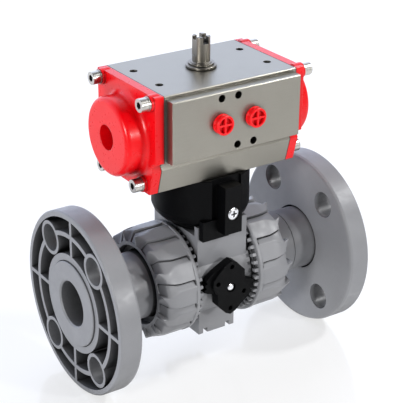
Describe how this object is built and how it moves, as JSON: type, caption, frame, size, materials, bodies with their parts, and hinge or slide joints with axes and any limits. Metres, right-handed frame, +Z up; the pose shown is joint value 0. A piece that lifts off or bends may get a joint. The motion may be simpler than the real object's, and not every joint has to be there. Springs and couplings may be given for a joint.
{
  "type": "pneumatic actuated ball valve",
  "caption": "Grey plastic union ball valve between loose flanges, turned a quarter by an aluminium rack-and-pinion air actuator with red end caps.",
  "frame": {"origin": "centre of the ball, where the pipe axis meets the stem axis", "axes": "+X along the pipe axis, +Z up the stem to the actuator, -Y towards the air ports"},
  "size_m": [0.1944, 0.121, 0.2205],
  "materials": {
    "grey_pvc": "satin moulded PVC-U",
    "grey_pvc_dark": "machined PVC-U",
    "white_ptfe": "machined fluoropolymer",
    "black_rubber": "moulded elastomer",
    "black_nylon": "glass-filled, satin",
    "zinc_screw": "bright zinc plate",
    "stainless": "turned stainless steel",
    "nickel_steel": "nickel plated, turned",
    "anodised_aluminium": "extruded, anodised",
    "red_casting": "gloss coated die casting",
    "red_plastic": "moulded polyethylene",
    "spring_steel": "coated spring wire"
  },
  "bodies": {
    "valve": {"actuator_body": "anodised_aluminium", "adapter_deck_screws": "stainless", "adapter_screw_front": "zinc_screw", "adapter_screw_rear": "zinc_screw", "ball_seat_left": "white_ptfe", "ball_seat_right": "white_ptfe", "cap_gasket_left": "black_rubber", "cap_gasket_right": "black_rubber", "cap_screws_left": "stainless", "cap_screws_right": "stainless", "cap_washers_left": "stainless", "cap_washers_right": "stainless", "carrier_seal": "black_rubber", "end_cap_left": "red_casting", "end_cap_right": "red_casting", "end_connector_left": "grey_pvc", "end_connector_right": "grey_pvc", "face_seal_left": "black_rubber", "face_seal_right": "black_rubber", "lock_rivet": "zinc_screw", "mounting_adapter": "black_nylon", "return_spring_left": "spring_steel", "return_spring_right": "spring_steel", "seat_carrier": "grey_pvc", "seat_seal_left": "black_rubber", "seat_seal_right": "black_rubber", "stub_collar_left": "grey_pvc", "stub_collar_right": "grey_pvc", "valve_body": "grey_pvc"},
    "rotor": {"pinion": "nickel_steel", "pinion_bearing_lower": "white_ptfe", "pinion_bearing_upper": "white_ptfe", "pinion_seal_lower": "black_rubber", "pinion_seal_upper": "black_rubber", "thrust_collar": "nickel_steel", "snap_ring": "nickel_steel", "drive_coupling": "stainless", "stem": "grey_pvc_dark", "stem_seal_lower": "black_rubber", "stem_seal_upper": "black_rubber", "ball": "grey_pvc"},
    "right_piston": {"piston_right": "anodised_aluminium", "piston_seal_right": "black_rubber", "piston_band_right": "white_ptfe"},
    "left_piston": {"piston_left": "anodised_aluminium", "piston_seal_left": "black_rubber", "piston_band_left": "white_ptfe"},
    "right_nut": {"union_nut_right": "grey_pvc"},
    "left_nut": {"union_nut_left": "grey_pvc"},
    "right_flange": {"flange_right": "grey_pvc"},
    "left_flange": {"flange_left": "grey_pvc"},
    "lock": {"nut_lock": "black_nylon"},
    "right_plug": {"port_plug_right": "red_plastic"},
    "left_plug": {"port_plug_left": "red_plastic"}
  },
  "joints": [
    {"name": "rotor_turn", "type": "hinge", "parent": "valve", "child": "rotor", "pos_m": [0, 0, 0], "axis": [0, 0, 1], "range_deg": [0, 90], "stiffness_Nm_per_rad": 1.2, "springref_deg": -171.89},
    {"name": "right_piston_slide", "type": "slide", "parent": "valve", "child": "right_piston", "axis": [1, 0, 0], "range_m": [0, 0.01415], "deforming": ["return_spring_right"]},
    {"name": "left_piston_slide", "type": "slide", "parent": "valve", "child": "left_piston", "axis": [-1, 0, 0], "range_m": [0, 0.01415], "deforming": ["return_spring_left"]},
    {"name": "right_nut_turn", "type": "hinge", "parent": "valve", "child": "right_nut", "pos_m": [0.037, 0, 0], "axis": [1, 0, 0], "continuous": true},
    {"name": "left_nut_turn", "type": "hinge", "parent": "valve", "child": "left_nut", "pos_m": [-0.037, 0, 0], "axis": [-1, 0, 0], "continuous": true},
    {"name": "right_flange_turn", "type": "hinge", "parent": "valve", "child": "right_flange", "pos_m": [0.088, 0, 0], "axis": [1, 0, 0], "continuous": true},
    {"name": "left_flange_turn", "type": "hinge", "parent": "valve", "child": "left_flange", "pos_m": [-0.088, 0, 0], "axis": [-1, 0, 0], "continuous": true},
    {"name": "lock_turn", "type": "hinge", "parent": "valve", "child": "lock", "pos_m": [0, -0.034, 0], "axis": [0, 1, 0], "range_deg": [0, 35]},
    {"name": "right_plug_pull", "type": "slide", "parent": "valve", "child": "right_plug", "axis": [0, -1, 0], "range_m": [0, 0.012]},
    {"name": "left_plug_pull", "type": "slide", "parent": "valve", "child": "left_plug", "axis": [0, -1, 0], "range_m": [0, 0.012]}
  ],
  "couplings": [
    {"joint": "right_piston_slide", "follows": "rotor_turn", "m_per_rad": 0.009},
    {"joint": "left_piston_slide", "follows": "rotor_turn", "m_per_rad": 0.009}
  ]
}
